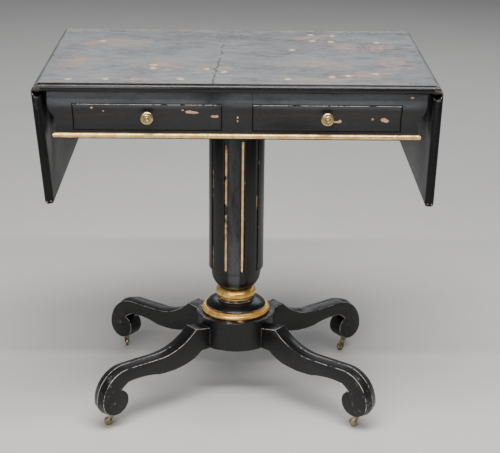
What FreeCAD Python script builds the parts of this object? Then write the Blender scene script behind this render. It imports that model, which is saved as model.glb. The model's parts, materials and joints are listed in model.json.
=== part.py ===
import FreeCAD, Part
import math
import os
import Sketcher

# A drop-leaf work table on a fluted column and four scrolled legs with casters.
# Millimetres, +Z up. The origin is on the floor, on the column's axis. The front faces -Y.

Vector = FreeCAD.Vector
doc = FreeCAD.newDocument("SewingTable")
sheet = doc.addObject("Spreadsheet::Sheet", "Sizes")
subparts = []


class Size:
    """A length from the sheet, or one worked out from such lengths, with its expression."""

    def __init__(self, value, text):
        self.value = value
        self.text = text

    def __add__(self, other):
        other = as_size(other)
        return Size(self.value + other.value, "(%s + %s)" % (self.text, other.text))

    def __sub__(self, other):
        other = as_size(other)
        return Size(self.value - other.value, "(%s - %s)" % (self.text, other.text))

    def __mul__(self, other):
        other = as_size(other)
        return Size(self.value * other.value, "(%s * %s)" % (self.text, other.text))

    def __truediv__(self, other):
        other = as_size(other)
        return Size(self.value / other.value, "(%s / %s)" % (self.text, other.text))

    def __neg__(self):
        return Size(-self.value, "(0 - %s)" % self.text)

    def __radd__(self, other):
        return as_size(other) + self

    def __rsub__(self, other):
        return as_size(other) - self

    def __rmul__(self, other):
        return as_size(other) * self


def as_size(number):
    if isinstance(number, Size):
        return number
    return Size(float(number), "(%r)" % float(number))


def root(length):
    return Size(math.sqrt(length.value), "sqrt(%s)" % length.text)


def cosine(angle):
    return Size(math.cos(math.radians(angle.value)), "cos(%s)" % angle.text)


def sine(angle):
    return Size(math.sin(math.radians(angle.value)), "sin(%s)" % angle.text)


def size(name, value):
    """One driving dimension, kept as a plain number in its own cell."""
    cell = "A%d" % (size.rows + 1)
    size.rows += 1
    sheet.set(cell, str(value))
    sheet.setAlias(cell, name)
    return Size(float(value), "Sizes." + name)


size.rows = 0


def bind(item, path, length):
    item.setExpression(path, as_size(length).text)


def span(side, near, far):
    """The two faces from near to far on the +X side, or mirrored to the -X side."""
    near, far = as_size(near), as_size(far)
    if side > 0:
        return near, far
    return -far, -near


def about(middle, width):
    middle, width = as_size(middle), as_size(width)
    return middle - width / 2, middle + width / 2


# How far a block that cuts or joins runs past the face where its work ends.
OVERRUN = 1


# --- solids -------------------------------------------------------------------------------

def box(name, xs, ys, zs):
    item = doc.addObject("Part::Box", name)
    for path, axis, (low, high) in (("Length", "x", xs), ("Width", "y", ys), ("Height", "z", zs)):
        low, high = as_size(low), as_size(high)
        bind(item, path, high - low)
        bind(item, ".Placement.Base." + axis, low)
    return item


TURNS = {"X": FreeCAD.Rotation(Vector(0, 1, 0), 90),
         "Y": FreeCAD.Rotation(Vector(1, 0, 0), -90),
         "Z": FreeCAD.Rotation()}


def rod(name, radius, length, at, along="Z"):
    """A cylinder that starts at a point and runs along +X, +Y or +Z."""
    item = doc.addObject("Part::Cylinder", name)
    item.Placement = FreeCAD.Placement(Vector(0, 0, 0), TURNS[along])
    bind(item, "Radius", radius)
    bind(item, "Height", length)
    move(item, *at)
    return item


def cone(name, low_radius, high_radius, length, at):
    item = doc.addObject("Part::Cone", name)
    bind(item, "Radius1", low_radius)
    bind(item, "Radius2", high_radius)
    bind(item, "Height", length)
    move(item, *at)
    return item


def move(item, x, y, z):
    for axis, length in (("x", x), ("y", y), ("z", z)):
        bind(item, ".Placement.Base." + axis, length)


def turn(item, axis, angle):
    """Turns an item about an axis through its own origin. The angle is never negative."""
    angle = as_size(angle)
    item.Placement = FreeCAD.Placement(item.Placement.Base,
                                       FreeCAD.Rotation(Vector(*axis), angle.value))
    bind(item, ".Placement.Rotation.Angle", angle)


def origin_feature(body, role):
    return {feature.Role: feature for feature in body.Origin.OriginFeatures}[role]


def outline(body, name, plane, path):
    """A closed sketch. A step is (x, y) for a line to that point, or (x, y, radius) for an arc
    to it, the radius being positive where the arc turns left and negative where it turns right.
    The first step is reached from the last."""
    sketch = body.newObject("Sketcher::SketchObject", name)
    sketch.AttachmentSupport = [(origin_feature(body, plane + "_Plane"), "")]
    sketch.MapMode = "FlatFace"
    draw(sketch, path)
    return sketch


def draw(sketch, path):
    corners = [(as_size(step[0]), as_size(step[1])) for step in path]
    points = [Vector(x.value, y.value, 0) for x, y in corners]
    ends = []
    for index, step in enumerate(path):
        start, end = points[index - 1], points[index]
        if len(step) == 2:
            line = sketch.addGeometry(Part.LineSegment(start, end), False)
            ends.append((line, 1, 2))
            continue
        radius = as_size(step[2])
        middle = arc_centre(start, end, radius.value)
        first, last = (start, end) if radius.value > 0 else (end, start)
        circle = Part.Circle(middle, Vector(0, 0, 1), abs(radius.value))
        begin = math.atan2(first.y - middle.y, first.x - middle.x)
        finish = math.atan2(last.y - middle.y, last.x - middle.x)
        arc = sketch.addGeometry(Part.ArcOfCircle(circle, begin, finish), False)
        ends.append((arc, 1, 2) if radius.value > 0 else (arc, 2, 1))
        bound = radius if radius.value > 0 else -radius
        constrain(sketch, ("Radius", arc), bound)
    for index, (geometry, start, end) in enumerate(ends):
        following, next_start, next_end = ends[(index + 1) % len(ends)]
        sketch.addConstraint(Sketcher.Constraint("Coincident", geometry, end,
                                                 following, next_start))
        x, y = corners[index]
        constrain(sketch, ("DistanceX", -1, 1, geometry, end), x)
        constrain(sketch, ("DistanceY", -1, 1, geometry, end), y)


def constrain(sketch, form, length):
    row = sketch.addConstraint(Sketcher.Constraint(*form, length.value))
    bind(sketch, "Constraints[%d]" % row, length)


def arc_centre(start, end, radius):
    chord = end - start
    rise = math.sqrt(max(radius ** 2 - chord.Length ** 2 / 4, 0.0))
    left = Vector(-chord.y, chord.x, 0) / chord.Length
    return (start + end) / 2 + left * math.copysign(rise, radius)


def slab(name, plane, path, length):
    """An outline padded to both sides of its plane."""
    body = doc.addObject("PartDesign::Body", name)
    sketch = outline(body, name + "_outline", plane, path)
    pad = body.newObject("PartDesign::Pad", name + "_pad")
    pad.Profile = sketch
    pad.SideType = "Symmetric"
    bind(pad, "Length", length)
    return body


def turned(name, path):
    """A profile of (radius, height) steps revolved about Z."""
    body = doc.addObject("PartDesign::Body", name)
    sketch = outline(body, name + "_profile", "XZ", path)
    revolution = body.newObject("PartDesign::Revolution", name + "_turning")
    revolution.Profile = sketch
    revolution.ReferenceAxis = (sketch, ["V_Axis"])
    revolution.Angle = 360
    return body


def fuse(name, *items):
    item = doc.addObject("Part::MultiFuse", name)
    item.Shapes = list(items)
    return item


def group(name, items):
    """Separate solids that touch and stay separate."""
    item = doc.addObject("Part::Compound", name)
    item.Links = list(items)
    return item


def cut(name, base, *tools):
    item = doc.addObject("Part::Cut", name)
    item.Base = base
    item.Tool = tools[0] if len(tools) == 1 else fuse(name + "_tools", *tools)
    return item


def common(name, base, tool):
    item = doc.addObject("Part::Common", name)
    item.Base = base
    item.Tool = tool
    return item


def bulge(offset, half_chord):
    """Radius of the arc that leaves square to an edge and drifts by offset over half_chord."""
    return (offset * offset + half_chord * half_chord) / (2 * offset)


def screw(name, x, y, low, length):
    """A countersunk wood screw that points up, with its flat head at height low."""
    head = cone(name + "_head", screw_head, screw_shank, screw_sink, (x, y, low))
    shank = rod(name + "_shank", screw_shank, length, (x, y, low))
    return fuse(name, head, shank)


def keep(item, name):
    item.Label = name
    subparts.append(item)
    return item


def placed(name, item):
    """A copy of an item that can be moved while the item stays where it was drawn."""
    return keep(group(name, [item]), name)


# --- sizes --------------------------------------------------------------------------------

table_height = size("table_height", 733)
pin_reach = size("pin_reach", 367.5)
half_depth = size("half_depth", 254)
top_thick = size("top_thick", 17.5)
quirk_inset = size("quirk_inset", 7.5)
quirk_width = size("quirk_width", 2.2)
quirk_depth = size("quirk_depth", 1.5)

pin_rise = size("pin_rise", 3.5)
joint_radius = size("joint_radius", 11.5)
joint_gap = size("joint_gap", 0.5)
lip_gap = size("lip_gap", 0.3)
leaf_reach = size("leaf_reach", 223)
leaf_corner = size("leaf_corner", 12)
lean_left = size("lean_left", 4.9)
lean_right = size("lean_right", 1.9)

hinge_place = size("hinge_place", 150)
flap_length = size("flap_length", 45)
flap_width = size("flap_width", 30)
flap_thick = size("flap_thick", 2)
barrel_radius = size("barrel_radius", 3.2)
pin_radius = size("pin_radius", 1.6)
pin_slack = size("pin_slack", 0.05)
knuckle_gap = size("knuckle_gap", 0.3)
hinge_swing = size("hinge_swing", 5.5)
hinge_room = size("hinge_room", 0.8)
screw_head = size("screw_head", 3)
screw_shank = size("screw_shank", 1.4)
screw_sink = size("screw_sink", 1.8)
screw_length = size("screw_length", 12)
screw_inset = size("screw_inset", 9)
screw_step = size("screw_step", 18)

stay_drop = size("stay_drop", 50)
stay_set = size("stay_set", 15.5)
stay_length = size("stay_length", 100)
stay_width = size("stay_width", 12)
stay_thick = size("stay_thick", 3)
stay_lean = size("stay_lean", 4)
stay_eye = size("stay_eye", 4)
stay_pin = size("stay_pin", 1.5)
stay_gap = size("stay_gap", 0.3)
bracket_thick = size("bracket_thick", 2)
bracket_inset = size("bracket_inset", 3)

frieze_height = size("frieze_height", 94.5)
frieze_inset = size("frieze_inset", 14.3)
frieze_recess = size("frieze_recess", 14)
set_back = size("set_back", 13.5)
ogee_below = size("ogee_below", 22.5)
ogee_height = size("ogee_height", 47)
end_thick = size("end_thick", 22)
front_thick = size("front_thick", 28)
bead_height = size("bead_height", 9)
bead_rise = size("bead_rise", 2)
bead_proud = size("bead_proud", 6)
board_thick = size("board_thick", 12)

top_rail = size("top_rail", 23.8)
bottom_rail = size("bottom_rail", 16.4)
centre_stile = size("centre_stile", 57.4)
drawer_opening = size("drawer_opening", 278.6)
drawer_gap = size("drawer_gap", 0.9)
drawer_front = size("drawer_front", 26)
drawer_length = size("drawer_length", 414)
drawer_wall = size("drawer_wall", 9)
drawer_height = size("drawer_height", 48)
drawer_floor = size("drawer_floor", 4)
floor_rise = size("floor_rise", 3)
partition_thick = size("partition_thick", 16)
runner_ledge = size("runner_ledge", 12)
guide_height = size("guide_height", 24)

knob_lift = size("knob_lift", 2.4)
knob_radius = size("knob_radius", 12.6)
knob_rose = size("knob_rose", 8)
knob_neck = size("knob_neck", 5)
knob_tenon = size("knob_tenon", 3)
knob_shank = size("knob_shank", 18)
rose_back = size("rose_back", 6)
rose_face = size("rose_face", 3)
neck_foot = size("neck_foot", 6)
knob_dome = size("knob_dome", 7)
knob_flare = size("knob_flare", 6)
knob_hollow = size("knob_hollow", 14)
knob_draw = size("knob_draw", 1.2)
knob_lip = size("knob_lip", 3)
knob_lip_curve = size("knob_lip_curve", 4)
button_radius = size("button_radius", 4)
button_step = size("button_step", 1)
button_rise = size("button_rise", 1.5)

cleat_length = size("cleat_length", 220)
cleat_width = size("cleat_width", 180)
cleat_thick = size("cleat_thick", 16)

shaft_radius = size("shaft_radius", 57.3)
shaft_foot = size("shaft_foot", 52.4)
band_height = size("band_height", 38)
neck_radius = size("neck_radius", 31.5)
bowl_height = size("bowl_height", 39)
foot_height = size("foot_height", 7)
flute_count = 10
flute_width = size("flute_width", 7)
flute_depth = size("flute_depth", 4.5)
flute_above = size("flute_above", 4)
flute_turn = size("flute_turn", 13)
fillet_width = size("fillet_width", 4.4)
fillet_thick = size("fillet_thick", 2.2)
fillet_gap = size("fillet_gap", 1)
head_tenon = size("head_tenon", 25)
foot_tenon = size("foot_tenon", 20)
tenon_gap = size("tenon_gap", 0.1)
tenon_short = size("tenon_short", 3)

upper_ring_height = size("upper_ring_height", 22)
upper_ring_foot = size("upper_ring_foot", 37)
upper_ring_radius = size("upper_ring_radius", 43)
upper_ring_top = size("upper_ring_top", 33)
upper_ring_waist = size("upper_ring_waist", 11)
upper_ring_fillet = size("upper_ring_fillet", 3)
disc_height = size("disc_height", 18)
disc_radius = size("disc_radius", 64)
disc_step = size("disc_step", 40)
disc_rise = size("disc_rise", 3.5)
disc_edge = size("disc_edge", 2)
disc_dome = size("disc_dome", 38)
lower_ring_height = size("lower_ring_height", 13.5)
lower_ring_radius = size("lower_ring_radius", 72)
lower_ring_foot = size("lower_ring_foot", 67)
lower_ring_bead = size("lower_ring_bead", 10.5)

drum_bottom = size("drum_bottom", 117)
drum_height = size("drum_height", 63.5)
drum_radius = size("drum_radius", 83.5)
drum_round = size("drum_round", 2.5)
plate_radius = size("plate_radius", 70)
plate_thick = size("plate_thick", 3)
plate_screws = size("plate_screws", 48)

leg_angle = size("leg_angle", 38)
leg_thick = size("leg_thick", 35)
leg_ridge = size("leg_ridge", 4)
landing_top = size("landing_top", 162)
landing_reach = size("landing_reach", 118)
landing_rise = size("landing_rise", 6)
sweep_reach = size("sweep_reach", 213)
leg_top = size("leg_top", 127)
crest_reach = size("crest_reach", 285)
scroll_centre = size("scroll_centre", 62.5)
scroll_radius = size("scroll_radius", 30.4)
curl_radius = size("curl_radius", 22.7)
curl_reach = size("curl_reach", 306)
soffit_outer = size("soffit_outer", 289)
soffit_height = size("soffit_height", 97)
soffit_middle = size("soffit_middle", 212)
soffit_drop = size("soffit_drop", 4.5)
soffit_arch = size("soffit_arch", 185)
soffit_belly = size("soffit_belly", 200)
heel_reach = size("heel_reach", 147)
heel_drop = size("heel_drop", 1.5)
heel_curve = size("heel_curve", 100)
heel_top = size("heel_top", 103)
heel_sink = size("heel_sink", 0.5)
leg_root = size("leg_root", 5)
tongue_thick = size("tongue_thick", 14)
tongue_depth = size("tongue_depth", 21)
tongue_height = size("tongue_height", 37)
tongue_root = size("tongue_root", 10)

caster_reach = size("caster_reach", 318.6)
caster_plate = size("caster_plate", 9)
caster_plate_low = size("caster_plate_low", 31)
caster_plate_thick = size("caster_plate_thick", 3.5)
caster_stem = size("caster_stem", 2.5)
caster_stem_length = size("caster_stem_length", 24)
crown_radius = size("crown_radius", 5.4)
crown_thick = size("crown_thick", 6)
crown_gap = size("crown_gap", 0.4)
wheel_radius = size("wheel_radius", 9)
wheel_width = size("wheel_width", 6)
wheel_trail = size("wheel_trail", 11)
wheel_gap = size("wheel_gap", 0.4)
fork_cheek = size("fork_cheek", 1.6)
tread_round = size("tread_round", 0.6)
cheek_half = size("cheek_half", 3)
cheek_sink = size("cheek_sink", 1)
axle_radius = size("axle_radius", 1.5)

# --- levels and planes that follow from the sizes -----------------------------------------

underside = table_height - top_thick
frieze_length = pin_reach - frieze_inset
frieze_depth = half_depth - frieze_recess
pin_level = underside + pin_rise
stay_reach = pin_reach - stay_set
stay_level = pin_level - stay_drop
frieze_bottom = underside - frieze_height
cleat_bottom = frieze_bottom - cleat_thick
frieze_inner = frieze_length - end_thick
front_inner = frieze_depth - front_thick
back_inner = frieze_depth - end_thick
opening_low = frieze_bottom + bottom_rail
opening_high = underside - top_rail
stile_edge = centre_stile / 2
opening_end = stile_edge + drawer_opening
board_top = frieze_bottom + board_thick
knob_reach = half_depth
knob_height = (opening_low + opening_high) / 2 + knob_lift
drum_top = drum_bottom + drum_height
disc_bottom = drum_top + lower_ring_height
ring_bottom = disc_bottom + disc_height
shaft_bottom = ring_bottom + upper_ring_height
bowl_top = shaft_bottom + bowl_height
rib_bottom = bowl_top + foot_height
flute_low = rib_bottom + flute_above
flute_high = cleat_bottom - band_height
flute_floor = shaft_radius - flute_depth
tenon_bore = foot_tenon + tenon_gap
bull = top_thick / 2
SIDES = (("left", -1), ("right", 1))
LEANS = {"left": lean_left, "right": lean_right}


# --- the top and its leaves ---------------------------------------------------------------

def bullnose(name, low, length):
    """The front-to-back section of the top and of a leaf, with half-round edges."""
    middle = low + bull
    high = low + top_thick
    flat = half_depth - bull
    return slab(name, "YZ", [(-flat, low, bull), (flat, low), (half_depth, middle, bull),
                             (flat, high, bull), (-flat, high), (-half_depth, middle, bull)],
                length)


def quirk(name, side):
    """A diamond prism that sinks a narrow groove beside the nosing."""
    middle = side * (half_depth - quirk_inset)
    return slab(name, "YZ", [(middle - quirk_width / 2, table_height),
                             (middle, table_height - quirk_depth),
                             (middle + quirk_width / 2, table_height),
                             (middle, table_height + quirk_depth)], 4 * pin_reach)


def hinge_pocket(name, side, place):
    """The room in the fixed top for one hinge: a shallow bed for the flap and a groove for
    the barrel and for the leaf's flap when it swings."""
    ys = about(place, flap_width + 2 * hinge_room)
    inner = pin_reach - flap_length
    groove = pin_reach - hinge_swing
    bed = box(name + "_bed", span(side, inner, groove + OVERRUN), about(place, flap_width),
              (underside - OVERRUN, underside + flap_thick))
    trough = box(name + "_trough", span(side, groove, pin_reach + joint_radius + OVERRUN), ys,
                 (underside - OVERRUN, pin_level + barrel_radius + hinge_room))
    return fuse(name, bed, trough)


foot = root(joint_radius * joint_radius - pin_rise * pin_rise)
rule = slab("rule_joint", "XZ", [(pin_reach + foot, underside),
                                 (pin_reach, pin_level + joint_radius, joint_radius),
                                 (pin_reach, table_height),
                                 (-pin_reach, table_height),
                                 (-pin_reach, pin_level + joint_radius),
                                 (-(pin_reach + foot), underside, joint_radius)], 3 * half_depth)
top_form = cut("top_form", common("top_section", rule,
                                  bullnose("top_bullnose", underside, 4 * pin_reach)),
               quirk("quirk_front", -1), quirk("quirk_back", 1))
panel_half = half_depth - quirk_inset
panel_block = box("panel_block", (-2 * pin_reach, 2 * pin_reach), (-panel_half, panel_half),
                  (underside - OVERRUN, table_height + OVERRUN))


def flap(name, away, x, y, z, knuckles, screws):
    """One flap of a hinge, on the away side of the pin at x, y, z. Its knuckles are (low, high)
    pairs along the pin, and the plate is full width only past the swing of the other flap."""
    def xs(near, far):
        low, high = span(away, near, far)
        return x + low, x + high

    zs = (z - pin_rise, z - pin_rise + flap_thick)
    pieces = [box(name + "_plate", xs(hinge_swing, flap_length), about(y, flap_width), zs)]
    for index, (low, high) in enumerate(knuckles):
        ys = (y + low, y + high)
        pieces.append(box("%s_tongue%d" % (name, index), xs(0, hinge_swing + OVERRUN), ys, zs))
        pieces.append(rod("%s_barrel%d" % (name, index), barrel_radius, high - low,
                          (x, y + low, z), "Y"))
    bore = rod(name + "_bore", pin_radius + pin_slack, 2 * flap_width, (x, y - flap_width, z), "Y")
    return cut(name, fuse(name + "_form", *pieces), bore, *screws)


def flap_screws(name, away, x, y, z):
    """Three screws through a flap, one near the joint and two at its far end."""
    far = flap_length - screw_inset
    low = z - pin_rise
    places = [(far - screw_step, 0), (far, screw_inset), (far, -screw_inset)]
    return [screw("%s%d" % (name, index), x + away * along, y + across, low, screw_length)
            for index, (along, across) in enumerate(places)]


knuckle = flap_width / 3
leaf_knuckles = [(-knuckle / 2 + knuckle_gap / 2, knuckle / 2 - knuckle_gap / 2)]
fixed_knuckles = [(-flap_width / 2, -knuckle / 2 - knuckle_gap / 2),
                  (knuckle / 2 + knuckle_gap / 2, flap_width / 2)]


def fixed_hinges():
    """The flaps, pins and screws that belong to the fixed top, and the pockets for them."""
    flaps, pins, screws, pockets = [], [], [], []
    for side_name, side in SIDES:
        for end_name, end in (("front", -1), ("back", 1)):
            name = "%s_%s" % (side_name, end_name)
            x, y = side * pin_reach, end * hinge_place
            own = flap_screws("screw_top_%s_" % name, -side, x, y, pin_level)
            flaps.append(flap("flap_fixed_" + name, -side, x, y, pin_level, fixed_knuckles, own))
            pins.append(rod("pin_" + name, pin_radius, flap_width,
                            (x, y - flap_width / 2, pin_level), "Y"))
            pockets.append(hinge_pocket("pocket_" + name, side, y))
            screws.extend(own)
    keep(fuse("hinge_fixed_flaps", *flaps), "hinge_fixed_flaps")
    keep(fuse("hinge_pins", *pins), "hinge_pins")
    return [keep(fuse("hinge_screws_top", *screws), "hinge_screws_top")] + pockets


top_cuts = fixed_hinges()
top_all = cut("top_all", top_form, *top_cuts)
keep(common("top_panel", top_all, panel_block), "top_panel")
keep(cut("top_nosings", top_all, panel_block), "top_nosings")


def leaf(side_name, side):
    """A leaf and its flaps, drawn open with the pin at the origin, then hung from the pin."""
    lean = LEANS[side_name]
    low, high = -pin_rise, top_thick - pin_rise
    cove = joint_radius + joint_gap
    start = root(cove * cove - pin_rise * pin_rise)
    lip = root(cove * cove - lip_gap * lip_gap)
    edge = leaf_reach - bull
    section = slab("leaf_section_" + side_name, "XZ",
                   [(side * edge, low), (side * leaf_reach, low + bull, side * bull),
                    (side * edge, high, side * bull), (side * lip_gap, high),
                    (side * lip_gap, lip), (side * start, low, -side * cove)], 3 * half_depth)
    bound = half_depth - leaf_corner
    inner = leaf_reach - leaf_corner
    plan = slab("leaf_plan_" + side_name, "XY",
                [(0, -half_depth), (side * inner, -half_depth),
                 (side * leaf_reach, -bound, side * leaf_corner), (side * leaf_reach, bound),
                 (side * inner, half_depth, side * leaf_corner), (0, half_depth)], 4 * top_thick)
    form = common("leaf_form_" + side_name,
                  common("leaf_bar_" + side_name, section,
                         bullnose("leaf_bullnose_" + side_name, low, 3 * leaf_reach)), plan)
    flaps, screws, beds = [], [], []
    for end_name, end in (("front", -1), ("back", 1)):
        name = "%s_%s" % (side_name, end_name)
        y = end * hinge_place
        own = flap_screws("screw_leaf_%s_" % name, side, 0, y, 0)
        flaps.append(flap("flap_leaf_" + name, side, 0, y, 0, leaf_knuckles, own))
        screws.extend(own)
        beds.append(box("bed_" + name, span(side, 0, flap_length),
                        about(y, flap_width), (low - OVERRUN, low + flap_thick)))
    screw_group = fuse("screws_open_" + side_name, *screws)
    hang("hinge_screws_" + side_name, screw_group, side, lean)
    hang("hinge_flaps_" + side_name, fuse("flaps_open_" + side_name, *flaps), side, lean)
    hang("leaf_" + side_name, cut("leaf_open_" + side_name, form, screw_group, *beds), side, lean)


def hang(name, item, side, lean):
    """Turns what was drawn open about the pin until it hangs, a little past plumb."""
    hung = placed(name, item)
    turn(hung, (0, side, 0), 90 + lean)
    move(hung, side * pin_reach, 0, pin_level)


for side_name, side in SIDES:
    leaf(side_name, side)


# --- the frieze's sections ----------------------------------------------------------------

def ogee(name, plane, half, length):
    """The frieze's section: upright, then an ogee that draws in, then upright again."""
    curve = bulge(set_back / 2, ogee_height / 2)
    upper = underside - ogee_below
    middle = upper - ogee_height / 2
    lower = upper - ogee_height
    waist = half - set_back / 2
    base = half - set_back
    return slab(name, plane, [(-base, frieze_bottom), (base, frieze_bottom), (base, lower),
                              (waist, middle, -curve), (half, upper, curve),
                              (half, underside), (-half, underside), (-half, upper),
                              (-waist, middle, curve), (-base, lower, -curve)], length)


def bead(name, plane, half, length):
    """A half-round that stands proud of the frieze's foot."""
    low = frieze_bottom + bead_rise
    high = low + bead_height
    middle = low + bead_height / 2
    curve = bulge(bead_proud, bead_height / 2)
    out = half + bead_proud
    return slab(name, plane, [(-half, low, curve), (half, low), (out, middle, curve),
                              (half, high, curve), (-half, high), (-out, middle, curve)], length)


wide = 4 * frieze_length
frieze_form = common("frieze_form", ogee("frieze_ends", "XZ", frieze_length, wide),
                     ogee("frieze_sides", "YZ", frieze_depth, wide))


# --- the iron stays that swing out under the leaves ---------------------------------------

def stay(side_name, side):
    """A bar with an eye, drawn hanging from its pivot, and the bracket that carries it."""
    ys = about(0, stay_width)
    bar = box("stay_bar_" + side_name, about(0, stay_thick), ys, (-stay_length, 0))
    eye = rod("stay_eye_" + side_name, stay_eye, stay_width, (0, -stay_width / 2, 0), "Y")
    bore = rod("stay_bore_" + side_name, stay_pin + pin_slack, 2 * stay_width,
               (0, -stay_width, 0), "Y")
    arm = placed("stay_" + side_name, cut("stay_plumb_" + side_name,
                                          fuse("stay_form_" + side_name, bar, eye), bore))
    turn(arm, (0, side, 0), stay_lean)
    move(arm, side * stay_reach, 0, stay_level)

    cheek = stay_width / 2 + stay_gap
    width = 2 * (cheek + bracket_thick)
    low = stay_level - stay_eye
    high = underside - bracket_inset
    face = frieze_length + bracket_thick
    plate = box("bracket_plate_" + side_name, span(side, frieze_length, face),
                about(0, width), (underside - ogee_below, high))
    drop = [(side * frieze_length, high), (side * frieze_length, underside - ogee_below),
            (side * (stay_reach - stay_eye), stay_level), (side * (stay_reach - stay_eye), low),
            (side * (stay_reach + stay_eye), low), (side * (stay_reach + stay_eye), stay_level),
            (side * face, underside - ogee_below), (side * face, high)]
    cheeks = cut("bracket_cheeks_" + side_name,
                 slab("bracket_outline_" + side_name, "XZ", drop, width),
                 box("bracket_slot_" + side_name, span(side, 0, 2 * frieze_length),
                     (-cheek, cheek), (low - OVERRUN, high + OVERRUN)))
    pin = rod("stay_pin_" + side_name, stay_pin, width, (side * stay_reach, -width / 2, stay_level),
              "Y")
    return fuse("bracket_" + side_name, plate, cut("bracket_scribed_" + side_name, cheeks,
                                                   frieze_form), pin)


keep(fuse("stay_brackets", *[stay(*side) for side in SIDES]), "stay_brackets")


# --- the frieze's pieces ------------------------------------------------------------------

inner_x = (-frieze_inner, frieze_inner)
front_y = (-2 * frieze_depth, -front_inner)


def frieze_piece(name, *blocks):
    """The part of the frieze that lies inside some blocks."""
    block = blocks[0] if len(blocks) == 1 else fuse(name + "_blocks", *blocks)
    return keep(common(name, frieze_form, block), name)


frieze_piece("front_top_rail", box("top_rail_block", inner_x, front_y,
                                   (opening_high, table_height)))
frieze_piece("front_bottom_rail", box("bottom_rail_block", inner_x, front_y,
                                      (frieze_bottom - OVERRUN, opening_low)))
stile_z = (opening_low, opening_high)
frieze_piece("front_stiles",
             box("stile_centre_block", (-stile_edge, stile_edge), front_y, stile_z),
             box("stile_left_block", (-frieze_inner, -opening_end), front_y, stile_z),
             box("stile_right_block", (opening_end, frieze_inner), front_y, stile_z))
full_z = (frieze_bottom - OVERRUN, table_height)
frieze_piece("back_panel", box("back_block", inner_x, (back_inner, 2 * frieze_depth), full_z))
for side_name, side in SIDES:
    frieze_piece("end_panel_" + side_name,
                 box("end_block_" + side_name, span(side, frieze_inner, 2 * frieze_length),
                     (-2 * frieze_depth, 2 * frieze_depth), full_z))

bead_ends = frieze_length - set_back
bead_sides = frieze_depth - set_back
bead_core = box("bead_core", (-bead_ends, bead_ends), (-bead_sides, bead_sides), full_z)
bead_form = cut("bead_form", common("bead_block", bead("bead_section_ends", "XZ", bead_ends, wide),
                                    bead("bead_section_sides", "YZ", bead_sides, wide)), bead_core)
corner_x = bead_ends + 2 * bead_proud
corner_y = bead_sides + 2 * bead_proud
mitres = []
for name, way in (("front", -1), ("back", 1)):
    mitres.append(slab("bead_mitre_" + name, "XY",
                       [(-bead_ends, way * bead_sides), (-corner_x, way * corner_y),
                        (corner_x, way * corner_y), (bead_ends, way * bead_sides)],
                       4 * table_height))
mitre_block = fuse("bead_mitres", *mitres)
keep(common("gilt_bead_sides", bead_form, mitre_block), "gilt_bead_sides")
keep(cut("gilt_bead_ends", bead_form, mitre_block), "gilt_bead_ends")

inside_y = (-front_inner, back_inner)
half_wall = partition_thick / 2
board_blank = box("board_blank", inner_x, inside_y, (frieze_bottom, board_top))
keep(box("centre_partition", (-half_wall, half_wall), inside_y, (board_top, underside)),
     "centre_partition")


# --- the drawers --------------------------------------------------------------------------

def runner(name, side, wall, edge, ledge):
    """A guide beside a drawer with a ledge under its side."""
    guide = box(name + "_guide", span(side, *sorted((wall, edge), key=lambda at: at.value)),
                inside_y, (board_top, board_top + guide_height))
    shelf = box(name + "_shelf", span(side, *sorted((edge, ledge), key=lambda at: at.value)),
                inside_y, (board_top, opening_low))
    return fuse(name, guide, shelf)


runners = []
for side_name, side in SIDES:
    runners.append(runner("runner_inner_" + side_name, side, half_wall, stile_edge,
                          stile_edge + runner_ledge))
    runners.append(runner("runner_outer_" + side_name, side, frieze_inner, opening_end,
                          opening_end - runner_ledge))
keep(fuse("drawer_runners", *runners), "drawer_runners")


def drawer(side_name, side):
    near = stile_edge + drawer_gap
    far = opening_end - drawer_gap
    low = opening_low + drawer_gap
    high = opening_high - drawer_gap
    back_of_front = -(frieze_depth - drawer_front)
    end = back_of_front + drawer_length
    name = "drawer_" + side_name

    middle = side * (near + far) / 2
    bore = rod(name + "_knob_bore", knob_tenon, 2 * frieze_depth,
               (middle, -2 * frieze_depth, knob_height), "Y")
    block = box(name + "_block", span(side, near, far), (-2 * frieze_depth, back_of_front),
                (low, high))
    blank = common(name + "_blank", frieze_form, block)
    front = keep(cut(name + "_front", blank, bore), name + "_front")

    sides = [box(name + "_wall_near", span(side, near, near + drawer_wall),
                 (back_of_front, end), (low, low + drawer_height)),
             box(name + "_wall_far", span(side, far - drawer_wall, far),
                 (back_of_front, end), (low, low + drawer_height)),
             box(name + "_wall_back", span(side, near + drawer_wall, far - drawer_wall),
                 (end - drawer_wall, end), (low + floor_rise + drawer_floor, low + drawer_height))]
    keep(group(name + "_box", sides), name + "_box")
    keep(box(name + "_bottom", span(side, near + drawer_wall, far - drawer_wall),
             (back_of_front, end), (low + floor_rise, low + floor_rise + drawer_floor)),
         name + "_bottom")

    head = knob_reach - frieze_depth + set_back / 2
    knob = turned(name + "_knob_turning", knob_profile(head))
    turn(knob, (1, 0, 0), 90)
    move(knob, middle, -(frieze_depth - set_back / 2), knob_height)
    keep(cut(name + "_knob", knob, front), name + "_knob")


def knob_profile(head):
    """A round knob with a rose at its foot, a thin neck and a stepped, domed face."""
    rim = head - knob_dome
    return [(0, -knob_shank), (knob_tenon, -knob_shank), (knob_tenon, -rose_back),
            (knob_rose, -rose_back), (knob_rose, rose_face), (knob_neck, neck_foot),
            (knob_neck, rim - knob_flare), (knob_radius, rim, -knob_hollow),
            (knob_radius - knob_draw, rim + knob_lip, knob_lip_curve),
            (button_radius + button_step, head - button_rise), (button_radius, head), (0, head)]


for side_name, side in SIDES:
    drawer(side_name, side)


# --- the column ---------------------------------------------------------------------------

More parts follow.
